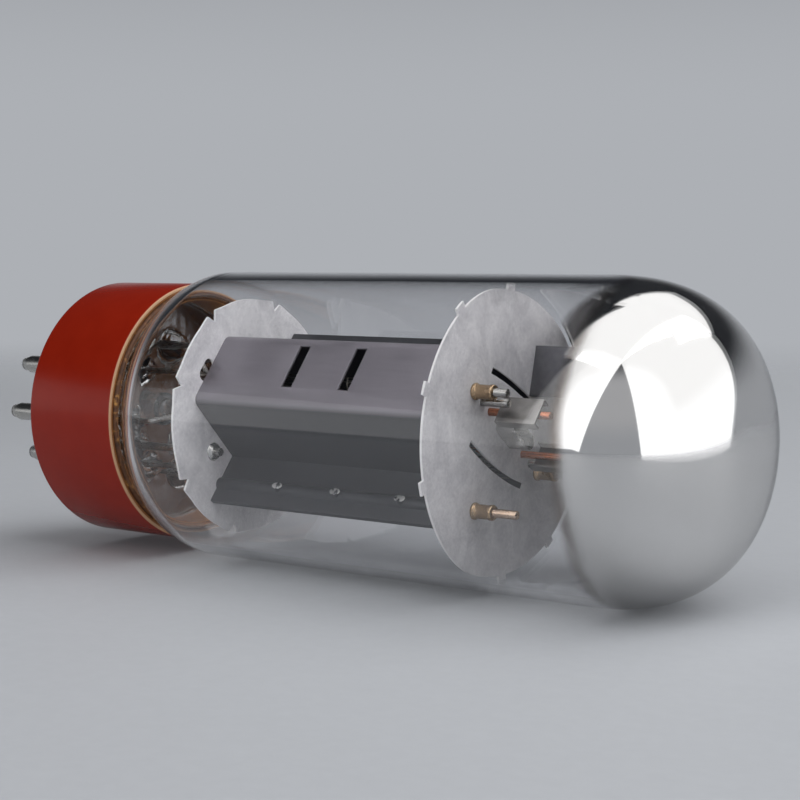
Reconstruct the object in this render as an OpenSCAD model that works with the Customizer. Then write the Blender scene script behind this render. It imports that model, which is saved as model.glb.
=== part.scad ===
// Power pentode with an eight-pin octal base, lying on its side.
// The tube's axis is X, base towards -X and dome towards +X, and Z is up.
// The origin is on the axis, at the plane on which the base seats in its socket.
// The modules below draw the tube upright, with its axis along Z, and lay_down() turns it over.
// Inside the bulb, u runs across the flat anode and v runs along its two fins.

/* [Overall] */
// Diameter of the glass bulb
bulb_d = 37; // [31:0.5:45]
// Height from the base's seat to the top of the dome
seated_h = 93.5; // [78:0.5:113]

/* [Base] */
// Step in from the bulb's side to the base's side
base_step = 1.6; // [1:0.05:1.8]
// Height of the base from its seat to its rim
base_h = 14.7; // [12:0.1:18]
// Thickness of the base's side wall
base_wall = 0.75; // [0.65:0.05:0.95]
// Thickness of the base's floor
base_floor = 2.4; // [1.8:0.1:3]
// Radius of the base's lower edge
base_edge = 0.5; // [0.3:0.1:1.5]
// Thickness of the cement between base and glass
cement_t = 0.5; // [0.4:0.05:0.7]
// Depth of the cement below the rim
cement_depth = 4.6; // [2:0.1:4.8]
// Height of the bead of cement above the rim
cement_bead = 0.3; // [0.15:0.05:0.4]
// Diameter of the locating spigot
spigot_d = 7.9; // [7.6:0.05:8.2]
// Length of the locating spigot
spigot_len = 14; // [11:0.1:17]
// Chamfer at the spigot's end, and the thickness of that end
spigot_chamfer = 1; // [0.6:0.1:1.3]
// Bore of the locating spigot
spigot_bore = 5.6; // [5.2:0.1:6.2]
// Width of the spigot's key
key_w = 1.2; // [0.8:0.1:1.6]
// Height of the spigot's key
key_h = 0.9; // [0.6:0.1:1.2]
// Gap from the spigot's chamfer up to the key
key_gap = 0.6; // [0.3:0.1:2]

/* [Pins] */
// Number of pins
pin_count = 8; // [8:1:8]
// Diameter of the pin circle
pin_circle_d = 17.45; // [15:0.05:20]
// Diameter of a pin
pin_d = 2.36; // [2:0.02:2.8]
// Swelling of a pin where it grips the base's floor
pin_grip = 0.25; // [0.2:0.01:0.35]
// Bore of a hollow pin
pin_bore = 1.5; // [1.2:0.05:1.7]
// Length of a pin below the seat
pin_len = 11.8; // [9.5:0.1:14.2]
// Length of the taper at a pin's tip
pin_taper = 1.2; // [0.8:0.1:2]
// Narrowing of a pin at its tip
pin_narrow = 0.3; // [0.1:0.05:0.4]
// Diameter of the pin's head inside the base
pin_head_d = 3.6; // [3:0.1:4.2]
// Thickness of the pin's head
pin_head_t = 0.4; // [0.3:0.05:0.6]
// Length of the solder plug in a pin
solder_len = 3; // [2:0.1:5]
// Height of the solder's drop on a pin's tip
solder_drop = 0.6; // [0.3:0.05:0.8]
// Turn of the first pin about the axis
pin_turn = 139.5; // [0:0.5:359]

/* [Glass] */
// Thickness of the bulb's wall
glass_t = 1; // [0.7:0.05:1.3]
// Height of the shoulder above the base's rim
shoulder_h = 6.6; // [6.5:0.1:8]
// Radius of the shoulder
shoulder_r = 7; // [5.6:0.1:7.3]
// Radius of the hollow between neck and shoulder
neck_fillet = 0.8; // [0.5:0.1:1.1]
// Height of the dome
dome_h = 18.1; // [15:0.1:22]
// Fullness of the dome, 2 for an ellipse
dome_power = 2.59; // [2:0.01:3.2]
// Straight bulb between the upper mica and the dome
dome_gap = 12.6; // [10:0.1:16]
// Depth of the stem's inner face below the rim
stem_drop = 4.7; // [3.9:0.1:5.6]
// Thickness of the pressed stem
stem_t = 3; // [2.4:0.1:3.6]
// Diameter of a glass bead at the stem
bead_d = 4.2; // [3.4:0.1:4.8]
// Diameter of a glass bead at its tip
bead_tip_d = 1.8; // [1.4:0.1:2.2]
// Height of a glass bead round a lead
bead_h = 3; // [2:0.1:3.2]
// Diameter of the exhaust tube
exhaust_d = 4.4; // [3.6:0.1:4.8]
// Bore of the exhaust tube
exhaust_bore = 2.6; // [2:0.1:3.2]
// Length of the exhaust tube below the stem
exhaust_len = 15.5; // [12.5:0.1:17]

/* [Leads] */
// Diameter of a stem lead
lead_d = 0.7; // [0.5:0.05:0.9]
// Radius of a lead's bends
lead_bend = 1.2; // [0.8:0.1:1.6]
// Steepest slope of a bent lead from upright
lead_slope = 62; // [45:1:70]
// Straight lead between a glass bead and the first bend
bend_gap = 0.4; // [0.2:0.1:1]
// Height of the second row of bends above the first
bend_step = 1.6; // [1:0.1:2]
// Gap from the lower mica down to the welds
weld_drop = 3; // [2.5:0.1:3.6]
// Length of weld where a lead lies beside a rod
weld_len = 2.4; // [1.6:0.1:3]
// Stub of a rod with no lead, below the lower mica
rod_stub = 1.2; // [1:0.1:1.6]
// Diameter of a support post
post_d = 1; // [0.8:0.05:1.2]
// Length of a support post above the lower mica
post_rise = 1.2; // [1:0.1:2]

/* [Micas] */
// Turn of the electrodes about the axis
mount_turn = 38.9; // [0:0.1:90]
// Height of the lower mica above the base's rim
mount_lift = 9.3; // [8.8:0.1:12]
// Thickness of a mica
mica_t = 0.3; // [0.2:0.05:0.5]
// Gap from the lower mica to the glass
lower_mica_gap = 2.5; // [1.8:0.1:3.2]
// Angles of the lower mica's nicks from the anode's width
nick_at = [20, 68]; // [0:1:88]
// Width of a nick at the edge
nick_w = 1.8; // [1.2:0.1:2.4]
// Depth of a nick
nick_depth = 0.95; // [0.6:0.05:1.2]
// Height of the lips beside a nick
lip_h = 0.25; // [0.1:0.05:0.4]
// Reach of a vent out beyond the anode's end flat
vent_reach = 1.2; // [0.8:0.1:1.6]
// Width of a vent
vent_w = 1.7; // [1.4:0.1:2]
// Length of a vent
vent_len = 3; // [2.4:0.1:3.6]
// Shift of a vent along its end flat
vent_shift = 0.7; // [0:0.1:1.5]
// Gap from the upper mica's disc to the glass
upper_mica_gap = 0.75; // [0.5:0.05:1.2]
// Angles from the anode's width of the tabs that bear on the glass
tab_at = [18, 54]; // [0:1:88]
// Width of a tab
tab_w = 1.5; // [1:0.1:2.2]
// Width of the upper mica's creepage slots
creep_w = 0.8; // [0.5:0.05:1.1]
// Length of a creepage slot
creep_len = 12.6; // [10:0.1:15]
// Radius of a creepage slot
creep_r = 36; // [25:1:50]
// Slant of the creepage slots
creep_slant = 9.5; // [0:0.5:15]
// Distance of the two creepage slots from the axis
creep_v = [4.6, 5.6]; // [3.8:0.1:6]
// Clearance of a rod in a mica
rod_fit = 0.05; // [0.02:0.01:0.1]
// Clearance of the upper mica's tabs in the glass
tab_fit = 0.04; // [0.02:0.01:0.1]

/* [Anode] */
// Half width of the anode to its end flats
anode_u = 10.55; // [10.2:0.05:12]
// Half depth of the anode at its end flats
anode_v = 5.09; // [4.5:0.01:6]
// Half depth of the anode at its fins
peak_v = 6.58; // [6:0.01:7.4]
// Reach of the fins from the axis
fin_v = 13.1; // [12.2:0.05:13.6]
// Thickness of the anode sheet
sheet_t = 0.35; // [0.25:0.01:0.45]
// Outer radius of the anode's bends
anode_bend = 1.1; // [0.7:0.1:1.6]
// Distance of the anode's rods from the axis
anode_rod_v = 10.5; // [9.6:0.05:11.2]
// Diameter of the anode's rods
anode_rod_d = 1; // [0.9:0.05:1.3]
// Length of the anode's rods above the upper mica
anode_rod_rise = 5.8; // [4.6:0.1:8]
// Width of the windows in the end flats
window_w = 1.6; // [1.2:0.1:2]
// Length of the windows
window_len = 6; // [4.8:0.1:7.2]
// Shift of the windows along the end flats
window_shift = 0.7; // [0:0.1:1]
// Places of the windows from the anode's middle
window_at = [-5.7, 2.9]; // [-9:0.1:9]
// Diameter of the clinch buttons on the fins
button_d = 1.2; // [0.8:0.1:1.4]
// Height of a clinch button
button_h = 0.35; // [0.2:0.05:0.45]
// Places of the clinch buttons from the anode's middle
button_at = [-9, 0, 9.6]; // [-10:0.1:10]

/* [Eyelets] */
// Length of an eyelet
eyelet_len = 2.7; // [2.2:0.1:3.3]
// Wall of an eyelet
eyelet_t = 0.32; // [0.25:0.01:0.4]
// Width of an eyelet's flange
eyelet_flange = 0.15; // [0.1:0.01:0.2]
// Width of the flange of the washers on the support posts
post_flange = 0.7; // [0.5:0.05:0.9]
// Thickness of an eyelet's flange and collar
flange_t = 0.5; // [0.35:0.05:0.6]

/* [Grids] */
// Half distance between the control grid's rods
control_u = 4.4; // [4.1:0.05:4.8]
// Half distance between the screen grid's rods
screen_u = 6.4; // [6.2:0.05:6.7]
// Half distance between the suppressor grid's rods
suppressor_u = 8.4; // [8.2:0.05:8.7]
// Diameter of the control grid's rods
control_rod_d = 0.9; // [0.7:0.05:1]
// Diameter of the screen grid's rods
screen_rod_d = 1; // [0.8:0.05:1.1]
// Diameter of the suppressor grid's rods
suppressor_rod_d = 1; // [0.8:0.05:1.1]
// Half depth of the control grid's winding
control_v = 1.7; // [1.5:0.05:2.1]
// Half depth of the screen grid's winding
screen_v = 2.8; // [2.5:0.05:3.2]
// Half depth of the suppressor grid's winding
suppressor_v = 4.3; // [3.8:0.05:4.8]
// Loops of the control grid
control_loops = 24; // [12:1:24]
// Loops of the screen grid
screen_loops = 20; // [10:1:24]
// Loops of the suppressor grid
suppressor_loops = 10; // [6:1:16]
// Diameter of the grid wire
grid_wire_d = 0.2; // [0.16:0.01:0.26]
// Bare rod between a winding and a mica
winding_margin = 1.6; // [1.2:0.1:2.5]
// Length of the control grid's rods above the upper mica
control_rise = 8; // [6.6:0.1:9.6]
// Length of the screen grid's rods above the upper mica
screen_rise = 3.6; // [2.8:0.1:4.4]
// Length of the suppressor grid's rods above the upper mica
suppressor_rise = 4.4; // [3.6:0.1:5.4]
// Width of a cooling wing on the control grid
wing_w = 3.4; // [2.6:0.1:4]
// Height of a cooling wing
wing_h = 5.2; // [4:0.1:6]
// Thickness of a cooling wing
wing_t = 0.25; // [0.2:0.01:0.3]
// Gap from a cooling wing to the mica
wing_gap = 1.6; // [1:0.1:2]

/* [Cathode] */
// Width of the oval cathode sleeve
cathode_w = 4.8; // [4.6:0.1:5.6]
// Depth of the cathode sleeve
cathode_depth = 1.9; // [1.6:0.1:2.3]
// Thickness of the sleeve
cathode_t = 0.2; // [0.15:0.01:0.25]
// Length of the sleeve beyond each mica
cathode_rise = 2.4; // [1.8:0.1:3]
// Diameter of the coated heater wire
heater_d = 0.44; // [0.36:0.02:0.52]
// Strands of the folded heater
heater_strands = 6; // [4:2:6]
// Distance between the heater's strands
heater_pitch = 0.7; // [0.64:0.01:0.74]
// Length of the heater's legs below the sleeve
heater_leg = 3.2; // [2.6:0.1:3.8]

/* [Getter] */
// Width of the getter's plate
plate_w = 6.2; // [5:0.1:7]
// Height of the getter's plate
plate_h = 7; // [5.8:0.1:8.4]
// Thickness of the getter's plate
plate_t = 0.25; // [0.2:0.01:0.35]
// Edge of the plate beyond the anode's rod
plate_over = 1.8; // [1.2:0.1:2.2]
// Turn of the plate about the anode's rod
plate_turn = 25; // [0:1:40]
// Width of the strip that carries the getter's ring
strip_w = 2.4; // [1.8:0.1:3]
// Diameter of the getter's ring
ring_d = 10; // [8:0.1:11]
// Width of the getter's channel
ring_w = 1.7; // [1.3:0.1:2]
// Height of the getter's channel
ring_h = 1.6; // [1.2:0.1:2]
// Thickness of the getter's channel
ring_t = 0.25; // [0.2:0.01:0.35]
// Height of the ring's foot above the plate
ring_lift = 2.8; // [2.2:0.1:3.6]
// Thickness of the getter's deposit on the glass
flash_t = 0.1; // [0.05:0.01:0.2]
// Height of the deposit's edge above the upper mica, at the rear
flash_low = 1; // [0.5:0.1:3]
// Height of the deposit's edge above the upper mica, at the front
flash_high = 16; // [12:0.1:18]

/* [Hidden] */
$fn = 48;
little = 0.01;
over = 1;
bulb_r = bulb_d / 2;
base_r = bulb_r - base_step;
base_in_r = base_r - base_wall;
neck_r = base_in_r - cement_t;
pin_r = pin_d / 2;
lead_r = lead_d / 2;
pin_circle_r = pin_circle_d / 2;
pin_step = 360 / pin_count;
pin_tip_r = pin_r - pin_narrow;
pin_root_r = pin_r + pin_grip;

// Heights on the axis, from the base upwards
stem_top = base_h - stem_drop;
stem_foot = stem_top - stem_t;
shoulder_z = base_h + shoulder_h;
lower_z = base_h + mount_lift;
anode_z = lower_z + mica_t;
dome_z = seated_h - dome_h;
upper_top = dome_z - dome_gap;
upper_foot = upper_top - mica_t;
anode_h = upper_foot - anode_z;
anode_mid = anode_z + anode_h / 2;

// The electrodes' rods, and where each lead lies beside its rod
control_rod_r = control_rod_d / 2;
screen_rod_r = screen_rod_d / 2;
suppressor_rod_r = suppressor_rod_d / 2;
anode_rod_r = anode_rod_d / 2;
post_r = post_d / 2;
weld_z = lower_z - weld_drop;
rod_foot = weld_z - weld_len;
stub_foot = lower_z - rod_stub;
anode_weld_z = lower_z - eyelet_len - bend_gap;
cathode_foot = lower_z - cathode_rise;
cathode_weld_z = lower_z - cathode_rise / 2;
heater_foot = cathode_foot - heater_leg;
heater_r = heater_d / 2;
heater_u = (heater_strands - 1) / 2 * heater_pitch;

// The bends of the leads start here, one above the other where they cross
bend_low = stem_top + bead_h + bend_gap;
bend_high = bend_low + bend_step;

// Pins by number, with the electrode that each feeds; pin 6 is left free
SIDES = [-1, 1];
FREE_PIN = 6;
POST_PINS = [2, 6];

// Turns the upright tube on to its side
module lay_down() { rotate([90, 0, 90]) children(); }

// Turns the electrodes about the tube's axis
module mount() { lay_down() rotate(-mount_turn) children(); }

function arc(centre, r, from, to, steps) =
    [for (i = [0 : steps]) let (a = from + (to - from) * i / steps) centre + r * [cos(a), sin(a)]];

// Where pin i stands in the electrodes' own u and v
function pin_angle(i) = pin_turn + pin_step * (i - 1);
function post_angle(i) = pin_angle(i) + pin_step / 2;
function pin_uv(i) = let (a = pin_angle(i) + mount_turn) pin_circle_r * [cos(a), sin(a)];

// The bulb's side from its neck to its crown, drawn in from the outside by inset
function neck_drop() = shoulder_r + neck_fillet - (bulb_r - neck_r);
function fillet_z() = shoulder_z - sqrt((shoulder_r + neck_fillet) ^ 2 - neck_drop() ^ 2);
function shoulder_start() = -acos(neck_drop() / (shoulder_r + neck_fillet));
function neck_side(inset) = concat(
    [[neck_r - inset, stem_top]],
    arc([neck_r + neck_fillet, fillet_z()], neck_fillet + inset, 180, 180 + shoulder_start(), 5),
    arc([bulb_r - shoulder_r, shoulder_z], shoulder_r - inset, shoulder_start(), 0, 10));
DOME_STEPS = 20;
function dome_side(inset) = [for (i = [0 : DOME_STEPS])
    let (a = 90 * i / DOME_STEPS, p = 2 / dome_power)
    [i == DOME_STEPS ? 0 : (bulb_r - inset) * cos(a) ^ p, dome_z + (dome_h - inset) * sin(a) ^ p]];
function bulb_side(inset) = concat(neck_side(inset), dome_side(inset));
function back(points) = [for (i = [len(points) - 1 : -1 : 0]) points[i]];

// Moulded base: a cup with a floor for the pins and a hollow spigot with its key
module base_shell() {
    key_foot = spigot_chamfer + key_gap - spigot_len;
    color("#8f2a14") lay_down() difference() {
        union() {
            rotate_extrude() polygon(concat(
                [[0, -spigot_len], [spigot_d / 2 - spigot_chamfer, -spigot_len]],
                [[spigot_d / 2, -spigot_len + spigot_chamfer], [spigot_d / 2, 0]],
                arc([base_r - base_edge, base_edge], base_edge, -90, 0, 6),
                [[base_r, base_h], [base_in_r, base_h], [base_in_r, base_floor]],
                [[spigot_bore / 2, base_floor], [spigot_bore / 2, spigot_chamfer - spigot_len]],
                [[0, spigot_chamfer - spigot_len]]));
            rotate(pin_angle(1) - pin_step / 2)
                translate([spigot_d / 2 - spigot_chamfer, -key_w / 2, key_foot])
                    cube([spigot_chamfer + key_h, key_w, base_floor / 2 - key_foot]);
        }
        for (i = [1 : pin_count]) at_pin(i) translate([0, 0, -over])
            cylinder(r = pin_root_r, h = base_floor + 2 * over);
    }
}

module at_angle(a) { rotate(a) translate([pin_circle_r, 0, 0]) children(); }
module at_pin(i) { at_angle(pin_angle(i)) children(); }

// Cement between the neck and the base, with a bead above the rim
module base_cement() {
    color("#b07a3c") lay_down() rotate_extrude() polygon([
        [neck_r, base_h - cement_depth], [base_in_r, base_h - cement_depth],
        [base_in_r, base_h], [neck_r + cement_t / 2, base_h + cement_bead],
        [neck_r, base_h + cement_bead]]);
}

// Hollow plated pin, swelled in the base's floor and headed over inside the base
module pin(i) {
    color("#c8c8c4") lay_down() at_pin(i) rotate_extrude() polygon([
        [pin_bore / 2, -pin_len], [pin_tip_r, -pin_len], [pin_r, pin_taper - pin_len],
        [pin_r, 0], [pin_root_r, 0], [pin_root_r, base_floor], [pin_head_d / 2, base_floor],
        [pin_head_d / 2, base_floor + pin_head_t], [pin_bore / 2, base_floor + pin_head_t]]);
}

// Solder that closes each pin round its lead, and fills the pin that has none
module pin_solder() {
    color("#b9babc") lay_down() for (i = [1 : pin_count]) at_pin(i) difference() {
        plug_top = i == FREE_PIN ? base_floor + pin_head_t : solder_len - pin_len;
        rotate_extrude() polygon(concat(
            [[0, plug_top], [pin_bore / 2, plug_top], [pin_bore / 2, -pin_len]],
            [for (p = back(arc([0, 0], 1, 270, 360, 5))) [p[0] * pin_tip_r, p[1] * solder_drop - pin_len]]));
        if (i != FREE_PIN) translate([0, 0, -pin_len]) cylinder(r = lead_r, h = pin_len);
    }
}

// Glass tube through which the bulb was pumped out, sealed off in the spigot
module exhaust_tube() {
    tip = stem_foot - exhaust_len;
    r = exhaust_d / 2;
    color("#cfe0dc", 0.6) lay_down() rotate_extrude() polygon(concat(
        [[exhaust_bore / 2, stem_foot], [exhaust_bore / 2, tip + 2 * r]],
        [[0, tip + r], [0, tip]],
        arc([0, tip + r], r, -90, 0, 6),
        [[r, stem_foot]]));
}

// Pressed glass stem with a bead of glass round every lead and post
module glass_stem() {
    color("#cfe0dc", 0.6) lay_down() difference() {
        union() {
            rotate_extrude() polygon(concat(
                [[exhaust_bore / 2, stem_foot]],
                arc([neck_r - stem_t / 3, stem_foot + stem_t / 3], stem_t / 3, -90, 0, 4),
                [[neck_r, stem_top], [exhaust_bore / 2, stem_top]]));
            for (a = stem_angles()) at_angle(a) translate([0, 0, stem_top - little])
                cylinder(d1 = bead_d, d2 = bead_tip_d, h = bead_h + little);
        }
        for (i = [1 : pin_count]) if (i != FREE_PIN) at_pin(i) bore_up(lead_r);
        for (i = POST_PINS) at_angle(post_angle(i)) bore_up(post_r);
    }
}

function stem_angles() = concat(
    [for (i = [1 : pin_count]) if (i != FREE_PIN) pin_angle(i)],
    [for (i = POST_PINS) post_angle(i)]);
module bore_up(r) { translate([0, 0, stem_foot - over]) cylinder(r = r, h = stem_t + bead_h + 2 * over); }

// Blown bulb, sealed to the stem at the foot of its neck
module glass_bulb() {
    color("#dfe8ea", 0.35) lay_down() rotate_extrude()
        polygon(concat(bulb_side(0), back(bulb_side(glass_t))));
}

// Round wire swept along a path whose bends lie square to the direction given as across
function unit(a) = a / norm(a);
function ring_at(path, i, r, sides, across) =
    let (last = len(path) - 1, t = unit(path[min(i + 1, last)] - path[max(i - 1, 0)]))
    let (n = unit(cross(t, across)), b = cross(n, t))
    [for (k = [0 : sides - 1]) let (a = 360 * k / sides) path[i] + r * (cos(a) * n + sin(a) * b)];
module wire(path, r, sides, across) {
    last = len(path) - 1;
    polyhedron(
        points = [for (i = [0 : last]) each ring_at(path, i, r, sides, across)],
        faces = concat(
            [for (i = [0 : last - 1], k = [0 : sides - 1], half = [0, 1])
                let (a = sides * i + k, b = sides * i + (k + 1) % sides)
                half == 0 ? [a, b, b + sides] : [a, b + sides, a + sides]],
            [for (k = [1 : sides - 2]) [0, k + 1, k]],
            [for (k = [1 : sides - 2]) let (e = sides * last) [e, e + k, e + k + 1]]));
}

// Path that runs up from one place to another, with a double bend between
BEND_STEPS = 4;
LEAD_SIDES = 8;
function bent_path(start, end, foot, bend_z, top) =
    let (away = norm(end - start), slope = min(lead_slope, acos(1 - away / (2 * lead_bend))))
    let (run = (away - 2 * lead_bend * (1 - cos(slope))) / sin(slope), dir = (end - start) / away)
    let (climb = 2 * lead_bend * sin(slope) + run * cos(slope))
    let (first = arc([lead_bend, bend_z], lead_bend, 180, 180 - slope, BEND_STEPS))
    let (second = arc([away - lead_bend, bend_z + climb], lead_bend, -slope, 0, BEND_STEPS))
    let (rest = [for (i = [run > little ? 0 : 1 : BEND_STEPS]) second[i]])
    [for (p = concat([[0, foot]], first, rest, [[away, top]])) [each start + p[0] * dir, p[1]]];

// Lead from the tip of its pin, through the stem, to the place where it is welded
module lead(i, end, bend_z, top) {
    start = pin_uv(i);
    across = [start[1] - end[1], end[0] - start[0], 0];
    color("#9a9c9e") mount() wire(bent_path(start, end, -pin_len, bend_z, top), lead_r, LEAD_SIDES, across);
}

module suppressor_lead() { lead(1, [-suppressor_u - suppressor_rod_r - lead_r, 0], bend_high, weld_z); }
module heater_lead_a() { lead(2, [-heater_u, -heater_r - lead_r], bend_low, heater_foot + weld_len); }
module anode_lead() { lead(3, [0, -anode_rod_v + anode_rod_r + lead_r], bend_high, anode_weld_z); }
module screen_lead() { lead(4, [screen_u, -screen_rod_r - lead_r], bend_low, weld_z); }
module control_lead() { lead(5, [control_u, control_rod_r + lead_r], bend_low, weld_z); }
module heater_lead_b() { lead(7, [heater_u, heater_r + lead_r], bend_low, heater_foot + weld_len); }
module cathode_lead() { lead(8, [0, cathode_depth / 2 + lead_r], bend_low, cathode_weld_z); }

// Stiff post from the stem that carries the lower mica
module support_post(i) {
    color("#9a9c9e") lay_down() at_angle(post_angle(i)) translate([0, 0, stem_foot])
        cylinder(r = post_r, h = lower_z + mica_t + post_rise - stem_foot);
}

// The four places round a mica that stand at angle a from the anode's width
function mirrored(a) = [a, 180 - a, 180 + a, -a];

// Mica disc with a nick between two small lips at each place, which bears on no glass
module lower_mica() {
    r = bulb_r - glass_t - lower_mica_gap;
    color("#e6e8ea") mount() translate([0, 0, lower_z]) linear_extrude(mica_t) difference() {
        union() {
            circle(r = r);
            for (a = nick_at, b = mirrored(a)) rotate(b)
                polygon([[r - lip_h, -1.5 * nick_w], [r + lip_h, -nick_w / 2],
                    [r + lip_h, nick_w / 2], [r - lip_h, 1.5 * nick_w]]);
        }
        for (a = nick_at, b = mirrored(a)) rotate(b)
            polygon([[r - nick_depth, 0], [r + 2 * lip_h, -nick_w / 2], [r + 2 * lip_h, nick_w / 2]]);
        rod_holes();
        for (s = SIDES) translate([s * (anode_u + vent_reach - vent_w / 2), s * vent_shift]) vent();
        for (i = POST_PINS) rotate(post_angle(i) + mount_turn) translate([pin_circle_r, 0])
            circle(r = post_r + rod_fit);
    }
}

// Slot with round ends
module vent() {
    for (s = SIDES) translate([0, s * (vent_len - vent_w) / 2]) circle(d = vent_w);
    square([vent_w, vent_len - vent_w], center = true);
}

// Upper mica: a disc with tabs that centre the electrodes in the bulb, and two creepage slots
module upper_mica() {
    inner = bulb_r - glass_t;
    color("#e6e8ea") mount() translate([0, 0, upper_foot]) linear_extrude(mica_t) difference() {
        intersection() {
            union() {
                circle(r = inner - upper_mica_gap);
                for (a = tab_at, b = mirrored(a)) rotate(b)
                    translate([inner / 2, -tab_w / 2]) square([inner, tab_w]);
            }
            circle(r = inner - tab_fit);
        }
        rod_holes();
        for (s = [0, 1]) rotate(creep_slant + 180 * s) translate([0, creep_r - creep_v[s]]) creep_slot();
    }
}

module creep_slot() {
    intersection() {
        difference() {
            circle(r = creep_r + creep_w / 2);
            circle(r = creep_r - creep_w / 2);
        }
        translate([-creep_len / 2, -creep_r - creep_len / 2]) square([creep_len, creep_len]);
    }
}

// The holes that both micas share
module rod_holes() {
    for (s = SIDES) {
        translate([0, s * anode_rod_v]) circle(r = anode_rod_r + rod_fit);
        translate([s * control_u, 0]) circle(r = control_rod_r + rod_fit);
        translate([s * screen_u, 0]) circle(r = screen_rod_r + rod_fit);
        translate([s * suppressor_u, 0]) circle(r = suppressor_rod_r + rod_fit);
    }
    polygon(oval(cathode_w / 2 + rod_fit, cathode_depth / 2 + rod_fit));
}

// Flat oval with round ends
function oval(w, h) = concat(arc([w - h, 0], h, -90, 90, 10), arc([h - w, 0], h, 90, 270, 10));

// Eyelet with a flange on the mica and a collar at its end, clamped on a rod of radius r
module eyelet(r) {
    barrel = r + eyelet_t;
    flange = barrel + eyelet_flange;
    collar = barrel + eyelet_flange / 2;
    rotate_extrude() polygon([
        [r, 0], [flange, 0], [flange, flange_t / 2], [barrel, flange_t],
        [barrel, eyelet_len - flange_t], [collar, eyelet_len - flange_t],
        [collar, eyelet_len - flange_t / 3], [barrel, eyelet_len], [r, eyelet_len]]);
}

module post_eyelets() {
    color("#c9cacb") lay_down() for (i = POST_PINS) at_angle(post_angle(i))
        translate([0, 0, lower_z + mica_t]) rotate_extrude() polygon([
            [post_r, 0], [post_r + post_flange, 0], [post_r + eyelet_t, flange_t], [post_r, flange_t]]);
}

// One half of the anode: an end wall, two sloping sides and two fins, pressed from sheet
module anode_half(side) {
    corner = atan((peak_v - anode_v) / anode_u);
    inner = sheet_t / cos(corner);
    tilt = tan(corner);
    color("#4a4c50") mount() mirror([side > 0 ? 1 : 0, 0, 0]) {
        difference() {
            translate([0, 0, anode_z]) linear_extrude(anode_h) difference() {
                union() {
                    difference() {
                        polygon(anode_wall(anode_u, peak_v, tilt, anode_bend));
                        polygon(concat([[over, peak_v - inner]],
                            anode_wall(anode_u - sheet_t, peak_v - inner, tilt, anode_bend - sheet_t),
                            [[over, inner - peak_v]]));
                    }
                    for (s = SIDES) {
                        translate([-sheet_t, s > 0 ? peak_v - inner : -fin_v])
                            square([sheet_t, fin_v - peak_v + inner]);
                        translate([0, s * anode_rod_v]) circle(r = anode_rod_r + sheet_t);
                    }
                }
                for (s = SIDES) translate([0, s * anode_rod_v]) circle(r = anode_rod_r);
                translate([0, -2 * fin_v]) square([4 * anode_rod_r, 4 * fin_v]);
            }
            for (z = window_at) translate([-anode_u, window_shift, anode_mid + z])
                cube([2 * over, window_len, window_w], center = true);
        }
        for (z = button_at, s = SIDES) translate([0, s * anode_rod_v, anode_mid + z]) button();
    }
}

// Outline of the wall on the side of negative u, from the one fin round to the other
function anode_wall(u, peak, tilt, bend) =
    let (flat = peak - u * tilt, turn = 90 - atan(tilt), back_off = bend * tan(turn / 2))
    let (low = [bend - u, back_off - flat], high = [bend - u, flat - back_off])
    let (ends = [[0, peak], [0, -peak]])
    concat([ends[0]], arc(high, bend, 180 - turn, 180, 6), arc(low, bend, 180, 180 + turn, 6), [ends[1]]);

// Button where the fin is clinched on the rod
module button() {
    crest = anode_rod_r + sheet_t;
    translate([-crest - button_h, 0, 0]) rotate([0, 90, 0])
        cylinder(d1 = button_d - button_h, d2 = button_d, h = button_h + sheet_t / 2);
}

module rod(u, v, r, foot, top) { mount() translate([u, v, foot]) cylinder(r = r, h = top - foot); }

module anode_rod(s) {
    color("#a58a62") rod(0, s * anode_rod_v, anode_rod_r, anode_weld_z - weld_len,
        upper_top + anode_rod_rise);
}

// Eyelets that clamp the micas on the anode's rods; the getter's plate does this at the fourth place
module anode_eyelets() {
    color("#b3905f") mount() {
        translate([0, -anode_rod_v, upper_top]) eyelet(anode_rod_r);
        for (s = SIDES) translate([0, s * anode_rod_v, lower_z]) mirror([0, 0, 1])
            eyelet(anode_rod_r);
    }
}

module cathode_sleeve() {
    color("#b8b9b5") mount() translate([0, 0, cathode_foot])
        linear_extrude(upper_top + cathode_rise - cathode_foot) difference() {
            polygon(oval(cathode_w / 2, cathode_depth / 2));
            polygon(oval(cathode_w / 2 - cathode_t, cathode_depth / 2 - cathode_t));
        }
}

// Heater wire folded up and down inside the sleeve, with a leg at each end
module heater() {
    low = cathode_foot + heater_pitch;
    high = upper_top + cathode_rise - 2 * heater_pitch;
    color("#e9e7e1") mount() for (i = [0 : heater_strands - 1]) translate([heater_place(i), 0, 0]) {
        foot = i == 0 || i == heater_strands - 1 ? heater_foot : low;
        translate([0, 0, foot]) cylinder(r = heater_r, h = high - foot);
        if (i < heater_strands - 1) translate([heater_pitch / 2, 0, i % 2 == 0 ? high : low])
            rotate([90, 0, 0]) rotate(i % 2 == 0 ? 0 : 180) rotate_extrude(angle = 180)
                translate([heater_pitch / 2, 0]) circle(r = heater_r);
    }
}

function heater_place(i) = i * heater_pitch - heater_u;

module control_rod(s) {
    color("#b5673f") rod(s * control_u, 0, control_rod_r, s > 0 ? rod_foot : stub_foot,
        upper_top + control_rise);
}

module screen_rod(s) {
    color("#a9abad") rod(s * screen_u, 0, screen_rod_r, s > 0 ? rod_foot : stub_foot,
        upper_top + screen_rise);
}

module suppressor_rod(s) {
    color("#a9abad") rod(s * suppressor_u, 0, suppressor_rod_r, s < 0 ? rod_foot : stub_foot,
        upper_top + suppressor_rise);
}

module suppressor_eyelets() {
    color("#b3905f") mount() for (s = SIDES) translate([s * suppressor_u, 0, upper_top])
        eyelet(suppressor_rod_r);
}

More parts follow.
